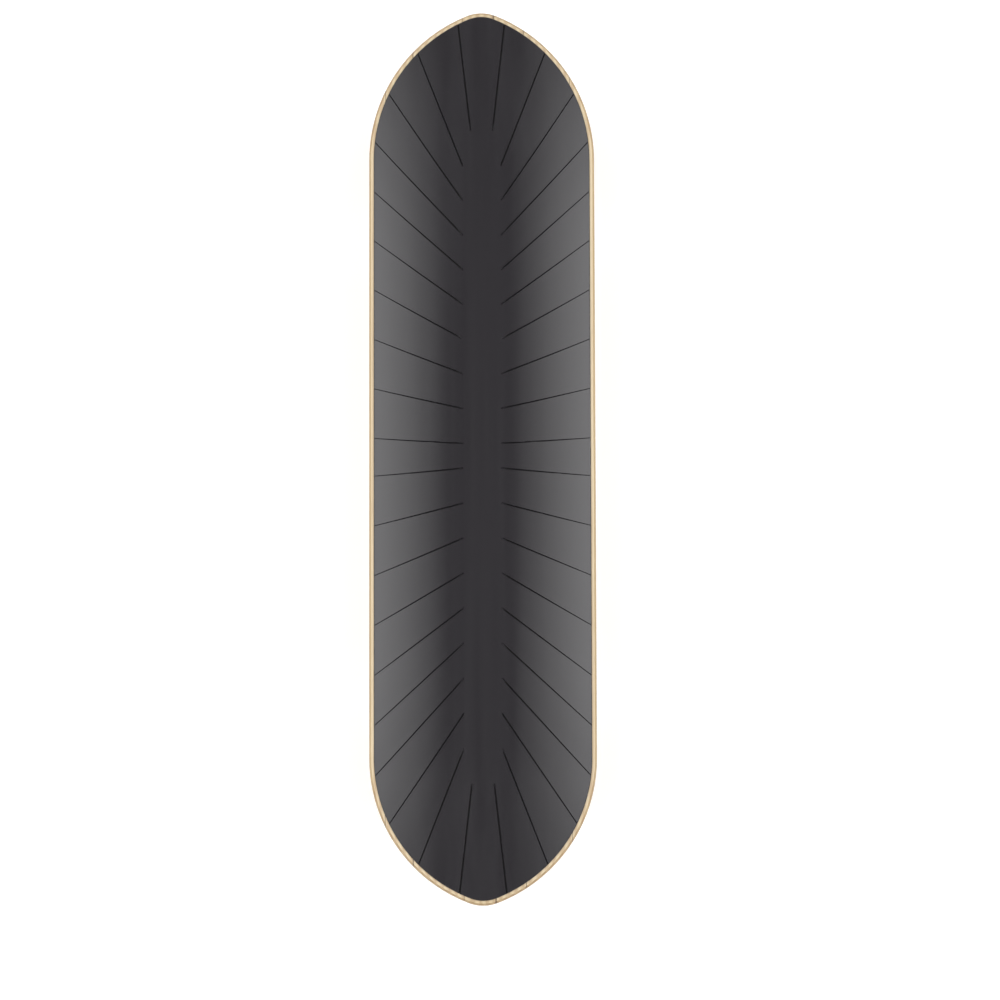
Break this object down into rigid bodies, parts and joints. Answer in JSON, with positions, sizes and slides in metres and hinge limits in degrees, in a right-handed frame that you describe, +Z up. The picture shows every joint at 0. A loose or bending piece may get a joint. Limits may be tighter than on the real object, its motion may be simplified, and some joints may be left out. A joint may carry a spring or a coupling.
{
  "type": "skateboard",
  "caption": "Street skateboard with a symmetric pointed maple deck, a black top sheet grooved in a chevron pattern, sprung trucks and spinning urethane wheels.",
  "frame": {"origin": "on the ground under the middle of the deck, with the board standing on its wheels", "axes": "+X towards the nose, +Y to the left side, +Z up; the wheels spin about Y"},
  "size_m": [0.8, 0.2032, 0.1245],
  "materials": {
    "maple": "satin",
    "black_sheet": "satin",
    "riser_rubber": "matte",
    "cast_aluminium": "satin",
    "pivot_cup_urethane": "matte",
    "axle_steel": "brushed",
    "bolt_steel": "satin",
    "zinc_steel": "satin",
    "bushing_urethane": "satin",
    "black_screw": "satin",
    "wheel_urethane": "satin",
    "bearing_steel": "polished",
    "nylon_cage": "matte",
    "shield_steel": "satin",
    "spacer_aluminium": "satin"
  },
  "bodies": {
    "deck": {"ply_1": "maple", "ply_2": "maple", "ply_3": "maple", "ply_4": "maple", "ply_5": "maple", "ply_6": "maple", "ply_7": "maple", "top_sheet": "black_sheet", "riser_front": "riser_rubber", "baseplate_front": "cast_aluminium", "pivot_cup_front": "pivot_cup_urethane", "kingpin_front": "bolt_steel", "board_bushing_front": "bushing_urethane", "road_bushing_front": "bushing_urethane", "riser_rear": "riser_rubber", "baseplate_rear": "cast_aluminium", "pivot_cup_rear": "pivot_cup_urethane", "kingpin_rear": "bolt_steel", "board_bushing_rear": "bushing_urethane", "road_bushing_rear": "bushing_urethane", "kingpin_nuts": "zinc_steel", "cup_washers": "zinc_steel", "tee_nuts": "zinc_steel", "deck_screws": "black_screw"},
    "hanger_front": {"hanger_front": "cast_aluminium", "axle_front": "axle_steel", "axle_nuts_front": "zinc_steel", "speed_washers_front": "zinc_steel", "inner_races_front_left": "bearing_steel", "bearing_spacer_front_left": "spacer_aluminium", "inner_races_front_right": "bearing_steel", "bearing_spacer_front_right": "spacer_aluminium"},
    "wheel_front_left": {"wheel_front_left": "wheel_urethane", "outer_races_front_left": "bearing_steel", "balls_front_left": "bearing_steel", "ball_cages_front_left": "nylon_cage", "shields_front_left": "shield_steel"},
    "wheel_front_right": {"wheel_front_right": "wheel_urethane", "outer_races_front_right": "bearing_steel", "balls_front_right": "bearing_steel", "ball_cages_front_right": "nylon_cage", "shields_front_right": "shield_steel"},
    "hanger_rear": {"hanger_rear": "cast_aluminium", "axle_rear": "axle_steel", "axle_nuts_rear": "zinc_steel", "speed_washers_rear": "zinc_steel", "inner_races_rear_left": "bearing_steel", "bearing_spacer_rear_left": "spacer_aluminium", "inner_races_rear_right": "bearing_steel", "bearing_spacer_rear_right": "spacer_aluminium"},
    "wheel_rear_left": {"wheel_rear_left": "wheel_urethane", "outer_races_rear_left": "bearing_steel", "balls_rear_left": "bearing_steel", "ball_cages_rear_left": "nylon_cage", "shields_rear_left": "shield_steel"},
    "wheel_rear_right": {"wheel_rear_right": "wheel_urethane", "outer_races_rear_right": "bearing_steel", "balls_rear_right": "bearing_steel", "ball_cages_rear_right": "nylon_cage", "shields_rear_right": "shield_steel"}
  },
  "joints": [
    {"name": "steer_front", "type": "hinge", "parent": "deck", "child": "hanger_front", "pos_m": [0.22999, 0, 0.068], "axis": [0.8533, 0, 0.5215], "range_deg": [-15, 15], "stiffness_Nm_per_rad": 60, "deforming": ["board_bushing_front", "road_bushing_front"]},
    {"name": "spin_front_left", "type": "hinge", "parent": "hanger_front", "child": "wheel_front_left", "pos_m": [0.21199, 0.078, 0.027], "axis": [0, 1, 0], "continuous": true},
    {"name": "spin_front_right", "type": "hinge", "parent": "hanger_front", "child": "wheel_front_right", "pos_m": [0.21199, -0.078, 0.027], "axis": [0, 1, 0], "continuous": true},
    {"name": "steer_rear", "type": "hinge", "parent": "deck", "child": "hanger_rear", "pos_m": [-0.22999, 0, 0.068], "axis": [-0.8533, 0, 0.5215], "range_deg": [-15, 15], "stiffness_Nm_per_rad": 60, "deforming": ["board_bushing_rear", "road_bushing_rear"]},
    {"name": "spin_rear_left", "type": "hinge", "parent": "hanger_rear", "child": "wheel_rear_left", "pos_m": [-0.21199, 0.078, 0.027], "axis": [0, 1, 0], "continuous": true},
    {"name": "spin_rear_right", "type": "hinge", "parent": "hanger_rear", "child": "wheel_rear_right", "pos_m": [-0.21199, -0.078, 0.027], "axis": [0, 1, 0], "continuous": true}
  ]
}
